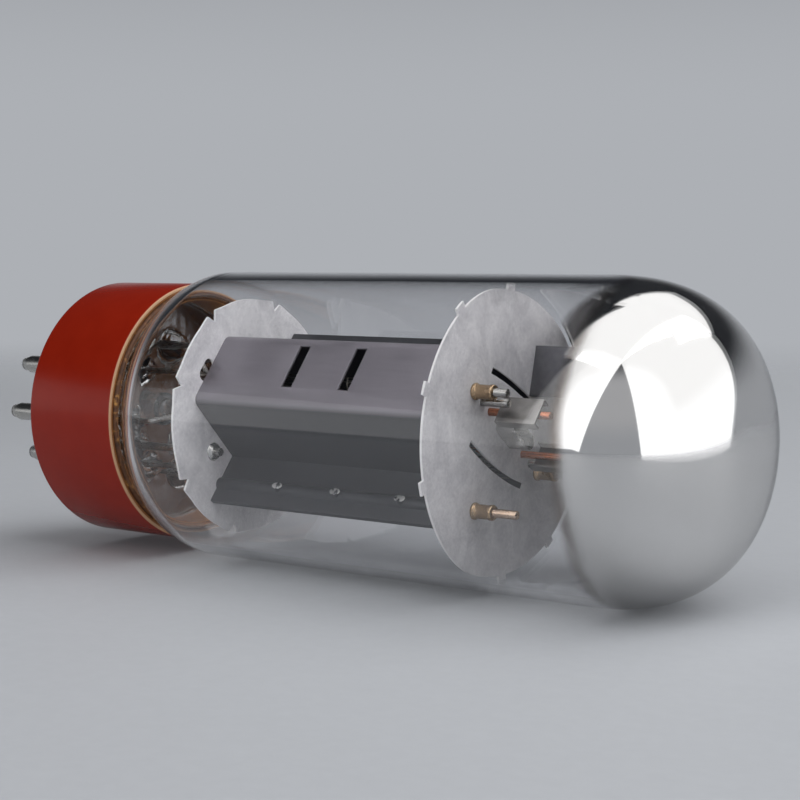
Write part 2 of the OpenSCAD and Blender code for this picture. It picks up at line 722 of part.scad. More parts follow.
// Grid wire wound round two rods: each loop runs across the end of a rod and bows out between them
STATIONS = 10;
GRID_SIDES = 6;
BOW = [1, 0.6, 0, -0.6, -1];
function loop_point(k, reach, hook, bow) =
    let (s = k < STATIONS / 2 ? 1 : -1, t = BOW[k % 5])
    s * [reach * t, hook + (bow - hook) * (1 - t * t)];
function winding_path(rod_u, rod_r, bow, loops) =
    let (reach = rod_u + rod_r + grid_wire_d / 2, hook = rod_r)
    let (length = anode_h - 2 * winding_margin)
    [for (i = [0 : loops * STATIONS])
        let (p = loop_point(i % STATIONS, reach, hook, bow))
        [p[0], p[1], anode_z + winding_margin + length * i / (loops * STATIONS)]];
function straight_ends(path) =
    let (last = len(path) - 1)
    concat([path[0] + grid_wire_d * unit(path[0] - path[1])], path,
        [path[last] + grid_wire_d * unit(path[last] - path[last - 1])]);
function least_gap(path) = min([for (i = [0 : len(path) - 1], j = [i + STATIONS / 2 : 1 : len(path) - 1])
    norm(path[i] - path[j])]) - grid_wire_d;

module winding(rod_u, rod_r, bow, loops) {
    wound = winding_path(rod_u, rod_r, bow, loops);
    echo(least_gap_between_loops_mm = least_gap(wound));
    wire(straight_ends(wound), grid_wire_d / 2, GRID_SIDES, [0, 0, 1]);
}

module control_winding() {
    color("#c9b27a") mount() winding(control_u, control_rod_r, control_v, control_loops);
}

module screen_winding() {
    color("#8d8f92") mount() winding(screen_u, screen_rod_r, screen_v, screen_loops);
}

module suppressor_winding() {
    color("#9c9ea1") mount() winding(suppressor_u, suppressor_rod_r, suppressor_v, suppressor_loops);
}

// Blackened wing, folded round the head of a control grid rod to cool it
module control_wing(s) {
    lip = wing_w / 4;
    color("#3b3a3c") mount() mirror([s < 0 ? 1 : 0, 0, 0])
        translate([control_u + control_rod_r, 0, upper_top + wing_gap]) {
            translate([0, -wing_w / 2, 0]) cube([wing_t, wing_w, wing_h]);
            for (e = SIDES) translate([-lip, e * (wing_w - wing_t) / 2 - wing_t / 2, 0])
                cube([lip + wing_t, wing_t, wing_h]);
        }
}

// Stands the getter's parts beside the rear rod, turned about it
module at_rear_rod() { mount() translate([0, anode_rod_v, upper_top]) rotate(plate_turn) children(); }

// Upright plate on the rear rod, with a strip that carries the getter's ring
module getter_plate() {
    color("#3f4144") at_rear_rod() translate([-anode_rod_r - plate_t, 0, 0]) {
        translate([0, plate_over - plate_w, 0]) cube([plate_t, plate_w, plate_h]);
        translate([0, strip_edge(), plate_h - little]) cube([plate_t, strip_w, ring_lift + ring_h + little]);
    }
}

function strip_edge() = plate_over - plate_w / 2 - strip_w / 2;

// Ring of channel that held the getter's metal, open towards the dome
module getter_ring() {
    r = ring_d / 2;
    color("#77797c") at_rear_rod()
        translate([-anode_rod_r - plate_t / 2, strip_edge() - r, plate_h + ring_lift])
            rotate_extrude() polygon([
                [r - ring_w, 0], [r, 0], [r, ring_h], [r - ring_t, ring_h], [r - ring_t, ring_t],
                [r - ring_w + ring_t, ring_t], [r - ring_w + ring_t, ring_h], [r - ring_w, ring_h]]);
}

// Mirror of getter metal on the inside of the dome, which reaches lower at the rear
module getter_flash() {
    inner = bulb_r - glass_t;
    tilt = atan((flash_high - flash_low) / (2 * inner));
    color("#d9dcdf") lay_down() difference() {
        rotate_extrude() polygon(concat(
            [[inner, upper_top]], dome_side(glass_t),
            back(dome_side(glass_t + flash_t)), [[inner - flash_t, upper_top]]));
        translate([0, 0, upper_top + (flash_low + flash_high) / 2]) rotate([0, tilt, 0])
            translate([0, 0, -bulb_d]) cube(2 * bulb_d, center = true);
    }
}

base_shell();
base_cement();
for (i = [1 : pin_count]) pin(i);
pin_solder();
exhaust_tube();
glass_stem();
glass_bulb();
suppressor_lead();
heater_lead_a();
anode_lead();
screen_lead();
control_lead();
heater_lead_b();
cathode_lead();
support_post(POST_PINS[0]);  // support_post_1
support_post(POST_PINS[1]);  // support_post_2
lower_mica();
upper_mica();
post_eyelets();
anode_half(-1);  // anode_front
anode_half(1);  // anode_rear
anode_rod(-1);  // anode_rod_front
anode_rod(1);  // anode_rod_rear
anode_eyelets();
cathode_sleeve();
heater();
control_rod(-1);  // control_rod_front
control_rod(1);  // control_rod_rear
control_winding();
screen_rod(-1);  // screen_rod_front
screen_rod(1);  // screen_rod_rear
screen_winding();
suppressor_rod(-1);  // suppressor_rod_front
suppressor_rod(1);  // suppressor_rod_rear
suppressor_winding();
suppressor_eyelets();
control_wing(-1);  // control_wing_front
control_wing(1);  // control_wing_rear
getter_plate();
getter_ring();
getter_flash();
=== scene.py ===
import math

import bmesh
import bpy
from mathutils import Matrix, Vector


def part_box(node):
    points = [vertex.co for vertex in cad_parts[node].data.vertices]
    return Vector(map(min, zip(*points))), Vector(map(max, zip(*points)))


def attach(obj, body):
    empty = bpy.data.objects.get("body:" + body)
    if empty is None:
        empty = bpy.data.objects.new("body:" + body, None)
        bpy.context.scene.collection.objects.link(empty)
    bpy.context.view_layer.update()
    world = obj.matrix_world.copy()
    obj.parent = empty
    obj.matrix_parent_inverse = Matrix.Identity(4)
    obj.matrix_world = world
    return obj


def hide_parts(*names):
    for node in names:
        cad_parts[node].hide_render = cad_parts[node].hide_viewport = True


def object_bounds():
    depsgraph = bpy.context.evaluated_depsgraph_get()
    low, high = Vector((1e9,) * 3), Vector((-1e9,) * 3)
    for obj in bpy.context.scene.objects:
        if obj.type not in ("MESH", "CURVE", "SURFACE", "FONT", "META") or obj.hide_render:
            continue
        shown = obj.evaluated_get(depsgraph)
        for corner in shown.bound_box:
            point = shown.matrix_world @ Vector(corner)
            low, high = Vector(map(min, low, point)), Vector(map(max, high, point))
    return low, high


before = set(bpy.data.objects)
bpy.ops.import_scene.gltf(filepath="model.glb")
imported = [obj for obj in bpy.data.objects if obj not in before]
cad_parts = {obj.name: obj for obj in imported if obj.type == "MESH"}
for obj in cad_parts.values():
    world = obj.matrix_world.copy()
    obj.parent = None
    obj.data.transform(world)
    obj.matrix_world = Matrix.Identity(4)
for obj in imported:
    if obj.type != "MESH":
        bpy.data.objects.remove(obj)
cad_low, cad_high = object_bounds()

# Pressed stem: a thick glass foot with a melted bead of glass round every lead and post.
# It is lead glass, pressed hot round the wires, so its beads run into the disc in soft fillets.
# The bulb's neck is melted on to its edge, and the pump-out tube hangs from its middle.
MM = 0.001
AXIS = Vector((1, 0, 0))
CENTRE = Vector((0, 0, 0))
SPIN_WELD = 0.0005 * MM


def arc(middle, radius, start, stop, steps):
    """Points (x, r) along an arc, with angles in degrees from the tube's axis."""
    turns = [math.radians(start + (stop - start) * i / steps) for i in range(steps + 1)]
    return [(middle[0] + radius * math.cos(a), middle[1] + radius * math.sin(a)) for a in turns]


def spin(shape, outline, place=CENTRE, steps=96):
    """Turns a closed outline of (x, r) points about a line along X through place."""
    ring = [shape.verts.new(place + Vector((x, 0, r))) for x, r in outline]
    edges = [shape.edges.new((a, b)) for a, b in zip(ring, ring[1:] + ring[:1])]
    bmesh.ops.spin(shape, geom=ring + edges, cent=place, axis=AXIS, angle=2 * math.pi, steps=steps,
                   use_merge=True)
    bmesh.ops.remove_doubles(shape, verts=shape.verts, dist=SPIN_WELD)
    on_axis = [e for e in shape.edges if not e.link_faces]
    bmesh.ops.delete(shape, geom=on_axis, context="EDGES")


def add_piece(name, shape, nodes, material, sharp=40):
    """Turns a bmesh into a piece that stands for CAD nodes, with edges over sharp degrees left crisp."""
    bmesh.ops.recalc_face_normals(shape, faces=shape.faces)
    for edge in shape.edges:
        edge.smooth = len(edge.link_faces) == 2 and edge.calc_face_angle() < math.radians(sharp)
    for face in shape.faces:
        face.smooth = True
    mesh = bpy.data.meshes.new(name)
    shape.to_mesh(mesh)
    shape.free()
    mesh.materials.append(material)
    piece = bpy.data.objects.new(name, mesh)
    bpy.context.scene.collection.objects.link(piece)
    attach(piece, "root")
    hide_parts(*nodes)
    return piece


def colour(code):
    """A linear colour from an sRGB hex value."""
    parts = [int(code[i:i + 2], 16) / 255 for i in (1, 3, 5)]
    return (*[c / 12.92 if c <= 0.04045 else ((c + 0.055) / 1.055) ** 2.4 for c in parts], 1)


def add(tree, kind, inputs, **settings):
    """Adds a node with its settings. An input that is a socket is linked, any other is set."""
    new = tree.nodes.new(kind)
    for key, value in settings.items():
        setattr(new, key, value)
    for key, value in inputs.items():
        if isinstance(value, bpy.types.NodeSocket):
            tree.links.new(value, new.inputs[key])
        else:
            new.inputs[key].default_value = value
    return new


def new_finish(name):
    """An empty material with its node tree and a socket of Object coordinates."""
    material = bpy.data.materials.new(name)
    material.use_nodes = True
    material.node_tree.nodes.clear()
    where = add(material.node_tree, "ShaderNodeTexCoord", {}).outputs["Object"]
    return material, material.node_tree, where


def per(size_mm):
    """Texture scale at which a pattern's features are size_mm across."""
    return 1 / (size_mm * MM)


GLASS_IOR = 1.52


def clear_glass(name, tint, wave_mm, wave_h_mm):
    """Clear glass, blown or pressed: hardly tinted, with slow waves that bend what is behind it."""
    material, tree, where = new_finish(name)
    waves = add(tree, "ShaderNodeTexNoise", {"Vector": where, "Scale": per(wave_mm), "Detail": 1})
    bump = add(tree, "ShaderNodeBump", {
        "Height": waves.outputs["Fac"], "Strength": 1, "Distance": wave_h_mm * MM})
    shader = add(tree, "ShaderNodeBsdfPrincipled", {
        "Base Color": colour(tint), "Roughness": 0, "IOR": GLASS_IOR, "Transmission Weight": 1,
        "Normal": bump.outputs["Normal"]})
    add(tree, "ShaderNodeOutputMaterial", {"Surface": shader.outputs["BSDF"]})
    return material


pressed_glass = clear_glass("pressed_lead_glass", "#eeefee", wave_mm=2, wave_h_mm=0.1)
stem_low, stem_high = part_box("glass_stem")
stem_r, stem_t, stem_edge = stem_high.y, 3 * MM, 1 * MM
stem_top = stem_low.x + stem_t
exhaust_bore_r = 1.3 * MM
bead_r, bead_h = 2.1 * MM, stem_high.x - stem_top
bead_turns = (0, 0.3, 0.6, 0.9, 1.2)
pin_circle_r = 17.45 / 2 * MM
PINS = range(1, 9)
FREE_PIN = 6


def on_pin_circle(node):
    """The place on the pin circle, at the stem, of a pin or post."""
    low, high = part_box(node)
    across = Vector((0, (low.y + high.y) / 2, (low.z + high.z) / 2))
    return across.normalized() * pin_circle_r


stem = bmesh.new()
spin(stem, [(stem_low.x, exhaust_bore_r)]
     + arc((stem_low.x + stem_edge, stem_r - stem_edge), stem_edge, 180, 90, 5)
     + [(stem_top, stem_r), (stem_top, exhaust_bore_r)])
bead = ([(stem_top - stem_edge, 0), (stem_top - stem_edge, bead_r)]
        + [(stem_top + bead_h * math.sin(a), bead_r * math.cos(a)) for a in bead_turns]
        + [(stem_high.x, 0)])
beaded = [f"pin_{i}" for i in PINS if i != FREE_PIN] + ["support_post_1", "support_post_2"]
for node in beaded:
    spin(stem, bead, on_pin_circle(node), steps=24)
stem_piece = add_piece("stem", stem, ["glass_stem"], pressed_glass, sharp=180)
melt = stem_piece.modifiers.new("melt", "REMESH")
melt.mode = "VOXEL"
melt.voxel_size = 0.2 * MM
melt.use_smooth_shade = True
settle = stem_piece.modifiers.new("settle", "SMOOTH")
settle.factor = 0.5
settle.iterations = 6
# Clear glass casts no shadow here, so that light reaches what stands behind it.
stem_piece.visible_shadow = False

# Pump-out tube: a thin glass tube under the stem, melted shut inside the base's spigot.
# It is drawn lead glass, sealed by a flame, which leaves a round blunt tip.
tube_low, tube_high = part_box("exhaust_tube")
tube_r = tube_high.y
tip_middle = tube_low.x + tube_r
tube = bmesh.new()
spin(tube, [(tube_high.x, exhaust_bore_r), (tube_low.x + 2 * tube_r, exhaust_bore_r), (tip_middle, 0)]
     + arc((tip_middle, 0), tube_r, 180, 90, 8) + [(tube_high.x, tube_r)], steps=48)
tube_piece = add_piece("pump_out_tube", tube, ["exhaust_tube"], pressed_glass)
tube_piece.visible_shadow = False

# Leads and posts: nickel-plated wires that run from the pins through the stem to the electrodes.
# They are drawn and then bent by hand, and the two stiff posts stand straight under the lower mica.
COPY_WELD = 0.001 * MM
FLAT = math.radians(1)
# Most values of a noise texture lie between these two.
NOISE_LOW, NOISE_HIGH = 0.3, 0.7


def smooth_copy(name, material, edge_mm=0, sharp=35):
    """Makes a piece from a CAD node's own mesh, merged, with its edges broken by edge_mm."""
    shape = bmesh.new()
    shape.from_mesh(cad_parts[name].data)
    bmesh.ops.remove_doubles(shape, verts=shape.verts, dist=COPY_WELD)
    if edge_mm:
        bmesh.ops.dissolve_limit(shape, angle_limit=FLAT, verts=shape.verts, edges=shape.edges)
        corners = [e for e in shape.edges
                   if len(e.link_faces) == 2 and e.calc_face_angle() > math.radians(sharp)]
        bmesh.ops.bevel(shape, geom=corners, offset=edge_mm * MM, affect="EDGES", segments=2, profile=0.5,
                        material=-1)
    return add_piece(name + "_piece", shape, [name], material, sharp)


def metal(name, dark, light, grain_mm, rough, along=1.0, metallic=1.0, bump_mm=0.0):
    """Worked metal: two close shades in streaks, drawn out along X, and a roughness that follows them.

    Real draw marks are finer than the grain, which is as coarse as it needs to be to show.
    """
    material, tree, where = new_finish(name)
    streaks = add(tree, "ShaderNodeMapping", {"Vector": where, "Scale": (1 / along, 1, 1)})
    grain = add(tree, "ShaderNodeTexNoise", {
        "Vector": streaks.outputs["Vector"], "Scale": per(grain_mm), "Detail": 4})
    shade = add(tree, "ShaderNodeMix", {
        "Factor": grain.outputs["Fac"], "A": colour(dark), "B": colour(light)}, data_type="RGBA")
    gloss = add(tree, "ShaderNodeMapRange", {
        "Value": grain.outputs["Fac"], "From Min": NOISE_LOW, "From Max": NOISE_HIGH,
        "To Min": rough * 0.8, "To Max": rough * 1.25})
    shader = add(tree, "ShaderNodeBsdfPrincipled", {
        "Base Color": shade.outputs["Result"], "Metallic": metallic, "Roughness": gloss.outputs["Result"]})
    if bump_mm:
        relief = add(tree, "ShaderNodeBump", {
            "Height": grain.outputs["Fac"], "Strength": 1, "Distance": bump_mm * MM})
        tree.links.new(relief.outputs["Normal"], shader.inputs["Normal"])
    add(tree, "ShaderNodeOutputMaterial", {"Surface": shader.outputs["BSDF"]})
    return material


nickel_wire = metal("drawn_nickel_wire", "#8d8c8a", "#c4c3c0", grain_mm=0.15, rough=0.28, along=8)
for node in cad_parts:
    if "_lead" in node or "support_post" in node:
        smooth_copy(node, nickel_wire)

# Micas: two thin discs that hold every rod at its distance from the next.
# They are punched from natural mica and sprayed with a white frosting.
# The lower one sits on the posts, and the upper one's tabs bear on the glass.


def frosted_mica():
    """Mica under a sprayed white coat: pale, matt, in faint clouds, with bright cut edges and a slight glow.

    The spray's grains are finer in life, and are drawn at 0.35 mm so that they show.
    """
    material, tree, where = new_finish("frosted_mica")
    clouds = add(tree, "ShaderNodeTexNoise", {
        "Vector": where, "Scale": per(4), "Detail": 5, "Distortion": 1})
    spray = add(tree, "ShaderNodeTexNoise", {"Vector": where, "Scale": per(0.35), "Detail": 2})
    both = add(tree, "ShaderNodeMix", {
        "Factor": 0.35, "A": clouds.outputs["Fac"], "B": spray.outputs["Fac"]})
    shade = add(tree, "ShaderNodeValToRGB", {"Fac": both.outputs["Result"]})
    thin, thick = shade.color_ramp.elements
    thin.position, thin.color = 0.35, colour("#dad9dd")
    thick.position, thick.color = 0.65, colour("#fdfcfe")
    facing_way = add(tree, "ShaderNodeNewGeometry", {})
    along_tube = add(tree, "ShaderNodeSeparateXYZ", {"Vector": facing_way.outputs["True Normal"]})
    flatness = add(tree, "ShaderNodeMath", {0: along_tube.outputs["X"]}, operation="ABSOLUTE")
    cut = add(tree, "ShaderNodeMath", {0: flatness.outputs["Value"], 1: 0.5}, operation="LESS_THAN")
    tone = add(tree, "ShaderNodeMix", {
        "Factor": cut.outputs["Value"], "A": shade.outputs["Color"], "B": colour("#ffffff")},
        data_type="RGBA")
    relief = add(tree, "ShaderNodeBump", {
        "Height": spray.outputs["Fac"], "Strength": 0.5, "Distance": 0.03 * MM})
    coat = add(tree, "ShaderNodeBsdfPrincipled", {
        "Base Color": tone.outputs["Result"], "Roughness": 0.55, "Normal": relief.outputs["Normal"]})
    glow = add(tree, "ShaderNodeBsdfTranslucent", {"Color": tone.outputs["Result"]})
    both_ways = add(tree, "ShaderNodeMixShader", {
        "Fac": 0.25, 1: coat.outputs["BSDF"], 2: glow.outputs["BSDF"]})
    add(tree, "ShaderNodeOutputMaterial", {"Surface": both_ways.outputs["Shader"]})
    return material


mica = frosted_mica()
for node in ("lower_mica", "upper_mica"):
    smooth_copy(node, mica, sharp=20)

# Post washers: small rings that lock the lower mica down on its posts.
# They are pressed from nickel strip and welded to the wire.
bright_nickel = metal("bright_nickel", "#c3c2bf", "#e6e5e2", grain_mm=0.4, rough=0.24, along=3)
smooth_copy("post_eyelets", bright_nickel, edge_mm=0.06)

# Cathode and heater: a flat oval nickel sleeve, and a wire folded six times inside it.
# The sleeve is seamed from thin strip, and the wire is dipped in white alumina and baked.
smooth_copy("cathode_sleeve", bright_nickel)


def baked_alumina():
    """Alumina baked on wire: chalk white, matt and finely grained."""
    material, tree, where = new_finish("baked_alumina")
    grain = add(tree, "ShaderNodeTexNoise", {"Vector": where, "Scale": per(0.2), "Detail": 3})
    shade = add(tree, "ShaderNodeMix", {
        "Factor": grain.outputs["Fac"], "A": colour("#d3cfc6"), "B": colour("#f1efe9")}, data_type="RGBA")
    relief = add(tree, "ShaderNodeBump", {
        "Height": grain.outputs["Fac"], "Strength": 1, "Distance": 0.02 * MM})
    shader = add(tree, "ShaderNodeBsdfPrincipled", {
        "Base Color": shade.outputs["Result"], "Roughness": 0.8, "Normal": relief.outputs["Normal"]})
    add(tree, "ShaderNodeOutputMaterial", {"Surface": shader.outputs["BSDF"]})
    return material


smooth_copy("heater", baked_alumina())

# Grids: fine wire wound round pairs of stiff rods, one grid inside the next.
# The inner grid's rods are copper, to draw off heat, and the other rods are nickel.
# The wire is peened into notches in the rods at every turn.
copper = metal("drawn_copper", "#9c5c41", "#cf8a68", grain_mm=0.2, rough=0.25, along=8)
grid_wire = metal("molybdenum_grid_wire", "#6f6c66", "#a39e93", grain_mm=0.15, rough=0.35)
nickel_rod = metal("drawn_nickel_rod", "#8f8e8b", "#c7c5c1", grain_mm=0.2, rough=0.25, along=8)
for side in ("front", "rear"):
    smooth_copy(f"control_rod_{side}", copper, edge_mm=0.08)
    smooth_copy(f"screen_rod_{side}", nickel_rod, edge_mm=0.08)
    smooth_copy(f"suppressor_rod_{side}", nickel_rod, edge_mm=0.08)
for grid in ("control", "screen", "suppressor"):
    smooth_copy(f"{grid}_winding", grid_wire, sharp=80)

# Anode: two pressed halves that close round the grids, clinched together along two fins.
# They are steel strip, carbonised dark grey so that they shed heat.
# A copper-plated rod is gripped in each fin and carries the halves between the micas.
MOUNT_TURN = math.radians(38.9)
OUT_OF_FINS = Vector((0, math.cos(MOUNT_TURN), -math.sin(MOUNT_TURN)))
ALONG_FINS = Vector((0, math.sin(MOUNT_TURN), math.cos(MOUNT_TURN)))
anode_low, anode_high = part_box("anode_front")
anode_middle = (anode_low.x + anode_high.x) / 2
button_places = [anode_middle + along * MM for along in (-9, 0, 9.6)]
button_r, button_foot, buttons_from = 0.7 * MM, 1.05 * MM, 9.4 * MM
BUTTON_STRETCH = 1.8
scrape_depth, scraped_at = 0.6 * MM, 1.47 * MM
# Where the painted light on the anode's end flats starts and where it is full, measured out from the fins.
flat_start, flat_full = 9.9 * MM, 10.4 * MM


def carbonised_steel():
    """Carbonised steel: dark grey, faintly streaked along the tube, with painted light on the end flats,
    which are drawn paler than the shaded sides and fins.

    The buttons are scraped down to bright metal in uneven patches.
    """
    material, tree, where = new_finish("carbonised_steel")
    drawn = add(tree, "ShaderNodeMapping", {"Vector": where, "Scale": (0.12, 1, 1)})
    streaks = add(tree, "ShaderNodeTexNoise", {
        "Vector": drawn.outputs["Vector"], "Scale": per(0.5), "Detail": 3})
    clouds = add(tree, "ShaderNodeTexNoise", {"Vector": where, "Scale": per(6), "Detail": 4})
    both = add(tree, "ShaderNodeMix", {
        "Factor": 0.5, "A": streaks.outputs["Fac"], "B": clouds.outputs["Fac"]})
    away = []
    for way in (OUT_OF_FINS, ALONG_FINS):
        place = add(tree, "ShaderNodeVectorMath", {0: where, 1: way}, operation="DOT_PRODUCT")
        size = add(tree, "ShaderNodeMath", {0: place.outputs["Value"]}, operation="ABSOLUTE")
        away.append(size.outputs["Value"])
    from_fins, along_fins = away
    # Painted light: the end flats, far out from the fins, take the pale pair of shades, and the sides and
    # fins take the dark, shaded pair.
    lit_flats = add(tree, "ShaderNodeMapRange", {
        "Value": from_fins, "From Min": flat_start, "From Max": flat_full})
    shades = []
    for dark, light in (("#35363a", "#4a4b4f"), ("#757178", "#928e95")):
        mixed = add(tree, "ShaderNodeMix", {
            "Factor": both.outputs["Result"], "A": colour(dark), "B": colour(light)}, data_type="RGBA")
        shades.append(mixed.outputs["Result"])
    shade = add(tree, "ShaderNodeMix", {
        "Factor": lit_flats.outputs["Result"], "A": shades[0], "B": shades[1]}, data_type="RGBA")
    gloss = add(tree, "ShaderNodeMapRange", {
        "Value": both.outputs["Result"], "From Min": NOISE_LOW, "From Max": NOISE_HIGH,
        "To Min": 0.38, "To Max": 0.55})
    relief = add(tree, "ShaderNodeBump", {
        "Height": streaks.outputs["Fac"], "Strength": 0.15, "Distance": 0.02 * MM})
    skin = add(tree, "ShaderNodeBsdfPrincipled", {
        "Base Color": shade.outputs["Result"], "Metallic": 0.5, "Roughness": gloss.outputs["Result"],
        "Normal": relief.outputs["Normal"]})
    bare = add(tree, "ShaderNodeBsdfPrincipled", {
        "Base Color": colour("#e6e5e3"), "Metallic": 1, "Roughness": 0.3})
    scrape = add(tree, "ShaderNodeTexNoise", {"Vector": where, "Scale": per(0.4), "Detail": 2})
    height = add(tree, "ShaderNodeMath", {
        0: scrape.outputs["Fac"], 1: scrape_depth, 2: from_fins}, operation="MULTIPLY_ADD")
    raised = add(tree, "ShaderNodeMath", {
        0: height.outputs["Value"], 1: scraped_at}, operation="GREATER_THAN")
    outside = add(tree, "ShaderNodeMath", {0: along_fins, 1: buttons_from}, operation="GREATER_THAN")
    on_button = add(tree, "ShaderNodeMath", {
        0: raised.outputs["Value"], 1: outside.outputs["Value"]}, operation="MULTIPLY")
    both_skins = add(tree, "ShaderNodeMixShader", {
        "Fac": on_button.outputs["Value"], 1: skin.outputs["BSDF"], 2: bare.outputs["BSDF"]})
    add(tree, "ShaderNodeOutputMaterial", {"Surface": both_skins.outputs["Shader"]})
    return material


def draw_out_buttons(half):
    """Stretches an anode half's clinch buttons along the tube, as the punch left them."""
    shape = bmesh.new()
    shape.from_mesh(half.data)
    for place in button_places:
        crown = [v for v in shape.verts
                 if abs(v.co.x - place) < button_r
                 and abs(v.co.dot(OUT_OF_FINS)) > button_foot
                 and abs(v.co.dot(ALONG_FINS)) > buttons_from]
        bmesh.ops.scale(shape, vec=(BUTTON_STRETCH, 1, 1), space=Matrix.Translation((-place, 0, 0)),
                        verts=crown)
    shape.to_mesh(half.data)
    shape.free()


anode_steel = carbonised_steel()
plated_rod = metal("copper_plated_rod", "#b39780", "#d6bfaa", grain_mm=0.2, rough=0.25, along=8)
for side in ("front", "rear"):
    draw_out_buttons(smooth_copy(f"anode_{side}", anode_steel, edge_mm=0.05))
    smooth_copy(f"anode_rod_{side}", plated_rod, edge_mm=0.12)

# Eyelets: small flanged tubes that clamp the micas on the rods.
# They are pressed from brass and crimped at the collar.
brass = metal("pressed_brass", "#a98f72", "#c4aa8a", grain_mm=1.2, rough=0.24)
for node in ("anode_eyelets", "suppressor_eyelets"):
    smooth_copy(node, brass, edge_mm=0.06)

# Cooling wings: small strips folded round the heads of the copper rods.
# They are dull nickel strip and throw off the inner grid's heat.
dull_nickel = metal("dull_nickel_strip", "#7d7b79", "#a6a3a0", grain_mm=0.8, rough=0.35)
for side in ("front", "rear"):
    smooth_copy(f"control_wing_{side}", dull_nickel, edge_mm=0.03)

# Getter: a ring of channel on a plate that is welded to the rear anode rod.
# Its metal was fired off in the sealed tube, and the empty ring stays behind.
dark_strip = metal("annealed_steel_strip", "#626266", "#848488", grain_mm=0.8, rough=0.4, metallic=0.7)
fired_nickel = metal("fired_nickel", "#5f5d59", "#8c8984", grain_mm=0.6, rough=0.4)
smooth_copy("getter_plate", dark_strip, edge_mm=0.04)
smooth_copy("getter_ring", fired_nickel, edge_mm=0.05)

# Bulb: one blown envelope with a neck, a shoulder, a straight side and a full dome.
# It is clear lime glass, about a millimetre thick, and melted to the stem's edge at its foot.
bulb_low, bulb_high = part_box("glass_bulb")
bulb_r, neck_r, glass_t = bulb_high.y, stem_r, 1 * MM
shoulder_r, fillet_r, shoulder_x = 7 * MM, 0.8 * MM, 21.3 * MM
dome_h = 18.1 * MM
dome_x = bulb_high.x - dome_h
DOME_POWER = 2.59
shoulder_drop = shoulder_r + fillet_r - (bulb_r - neck_r)
shoulder_turn = math.degrees(math.acos(shoulder_drop / (shoulder_r + fillet_r)))
fillet_x = shoulder_x - math.sqrt((shoulder_r + fillet_r) ** 2 - shoulder_drop ** 2)
ROUND_STEPS = 192


def dome_outline(inset, steps=48):
    """Points (x, r) up the dome, drawn in by inset."""
    turns = [math.pi / 2 * i / steps for i in range(steps + 1)]
    power = 2 / DOME_POWER
    points = [(dome_x + (dome_h - inset) * math.sin(a) ** power,
               (bulb_r - inset) * max(math.cos(a), 0) ** power) for a in turns[:-1]]
    return points + [(dome_x + dome_h - inset, 0)]


def bulb_outline(inset):
    """Points (x, r) from the neck's foot to the crown, drawn in by inset."""
    return ([(bulb_low.x, neck_r - inset)]
            + arc((fillet_x, neck_r + fillet_r), fillet_r + inset, 270, 270 + shoulder_turn, 8)
            + arc((shoulder_x, bulb_r - shoulder_r), shoulder_r - inset, 90 + shoulder_turn, 90, 20)
            + dome_outline(inset))


bulb = bmesh.new()
spin(bulb, bulb_outline(0) + bulb_outline(glass_t)[::-1], steps=ROUND_STEPS)
blown_glass = clear_glass("blown_lime_glass", "#f8f8f9", wave_mm=14, wave_h_mm=0.01)
bulb_piece = add_piece("bulb", bulb, ["glass_bulb"], blown_glass, sharp=60)
bulb_piece.visible_shadow = False

# Getter mirror: a film of metal that settled inside the dome when the getter was fired.
# It is bright as silver where it is thick, and thins out to a smoky edge that falls to the mica at the rear.
# Its outer face lies a hair inside the glass, as that of a film that wets the wall does.
film_t, film_sink = 0.1 * MM, 0.02 * MM
film_out, film_in = glass_t - film_sink, glass_t + film_t
film_low, film_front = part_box("upper_mica")[1].x, 78 * MM
FRONT_END, REAR_START = -2 * MM, 11 * MM
film_slope = (film_front - film_low) / (REAR_START - FRONT_END)
slant_place = Vector((film_low, REAR_START, 0))
slant_way = Vector((1, film_slope, 0))
slant_level = film_low + film_slope * REAR_START - film_front
ripple_h, smoke_start, smoke_end = 2 * MM, film_front + 1.5 * MM, film_front + 4.5 * MM
foot_ring = film_low + 0.01 * MM


def evaporated_mirror():
    """Evaporated metal: a bright mirror that thins to brown smoke and then to nothing at its edge."""
    material, tree, where = new_finish("evaporated_mirror")
    ripple = add(tree, "ShaderNodeTexNoise", {"Vector": where, "Scale": per(9), "Detail": 2})
    across = add(tree, "ShaderNodeSeparateXYZ", {"Vector": where})
    slant = add(tree, "ShaderNodeMath", {
        0: across.outputs["Y"], 1: film_slope, 2: across.outputs["X"]}, operation="MULTIPLY_ADD")
    over_slant = add(tree, "ShaderNodeMath", {
        0: slant.outputs["Value"], 1: slant_level}, operation="SUBTRACT")
    level = add(tree, "ShaderNodeMath", {
        0: across.outputs["X"], 1: over_slant.outputs["Value"]}, operation="MAXIMUM")
    moved = add(tree, "ShaderNodeMath", {
        0: ripple.outputs["Fac"], 1: ripple_h, 2: level.outputs["Value"]}, operation="MULTIPLY_ADD")
    thickness = add(tree, "ShaderNodeMapRange", {
        "Value": moved.outputs["Value"], "From Min": smoke_start, "From Max": smoke_end},
        interpolation_type="SMOOTHSTEP")
    shade = add(tree, "ShaderNodeValToRGB", {"Fac": thickness.outputs["Result"]})
    smoke, silver = shade.color_ramp.elements
    smoke.position, smoke.color = 0.2, colour("#6b5d52")
    silver.position, silver.color = 0.8, colour("#d8d7d5")
    shader = add(tree, "ShaderNodeBsdfPrincipled", {
        "Base Color": shade.outputs["Color"], "Metallic": 1, "Roughness": 0.04,
        "Alpha": thickness.outputs["Result"]})
    add(tree, "ShaderNodeOutputMaterial", {"Surface": shader.outputs["BSDF"]})
    return material


